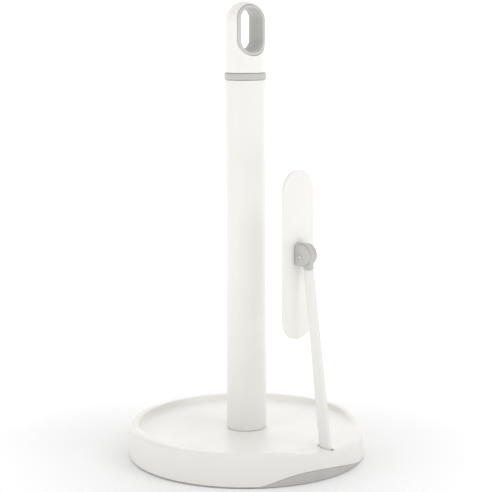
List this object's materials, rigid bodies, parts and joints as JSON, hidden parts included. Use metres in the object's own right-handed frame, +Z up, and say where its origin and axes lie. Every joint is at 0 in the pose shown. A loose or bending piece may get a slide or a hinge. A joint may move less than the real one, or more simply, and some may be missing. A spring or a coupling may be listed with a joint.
{
  "type": "paper towel holder",
  "caption": "Freestanding paper towel holder: weighted dish base, centre post with a loop handle, and a sprung side arm whose hinged paddle steadies the roll.",
  "frame": {"origin": "on the post's axis, on the surface that the holder stands on", "axes": "+Z up along the post; +X from the post towards the side arm, whose swing plane is XZ; +Y completes the right-handed frame"},
  "size_m": [0.188, 0.188, 0.3599],
  "materials": {
    "white_plastic": "satin moulded, warm white",
    "grey_plastic": "fine matt moulded, light grey",
    "soft_grey": "soft overmoulded liner, satin grey",
    "steel": "bright zinc plated",
    "brass": "turned, bright",
    "cast_iron": "as cast, dark",
    "rubber": "matt non-slip"
  },
  "bodies": {
    "stand": {"base_shell": "white_plastic", "base_tray": "grey_plastic", "foot_ring": "rubber", "ballast_plate": "cast_iron", "cover_screw_1": "steel", "cover_screw_2": "steel", "cover_screw_3": "steel", "cover_screw_4": "steel", "post_tube": "white_plastic", "post_bottom_plug": "grey_plastic", "post_top_plug": "grey_plastic", "tie_rod": "steel", "tie_rod_nut": "steel", "tie_rod_washer": "steel", "collar_ring": "grey_plastic", "handle_loop": "white_plastic", "handle_liner": "soft_grey", "handle_insert": "brass", "hinge_bracket": "steel", "bracket_rivet_1": "steel", "bracket_rivet_2": "steel", "hinge_pin": "steel", "hinge_pin_clip": "steel", "hinge_spacer": "grey_plastic", "torsion_spring": "steel"},
    "arm": {"arm_blade": "white_plastic", "hinge_bush": "brass", "knuckle_tongue": "grey_plastic"},
    "paddle": {"paddle_plate": "white_plastic", "paddle_hub": "grey_plastic", "knuckle_pin": "steel"}
  },
  "joints": [
    {"name": "arm_swing", "type": "hinge", "parent": "stand", "child": "arm", "pos_m": [0.084, 0, 0.01], "axis": [0, 1, 0], "range_deg": [-5.5, 13], "stiffness_Nm_per_rad": 1, "springref_deg": -45.84},
    {"name": "paddle_tilt", "type": "hinge", "parent": "arm", "child": "paddle", "pos_m": [0.0605, 0, 0.1674], "axis": [0, 1, 0], "range_deg": [-10, 9]}
  ]
}
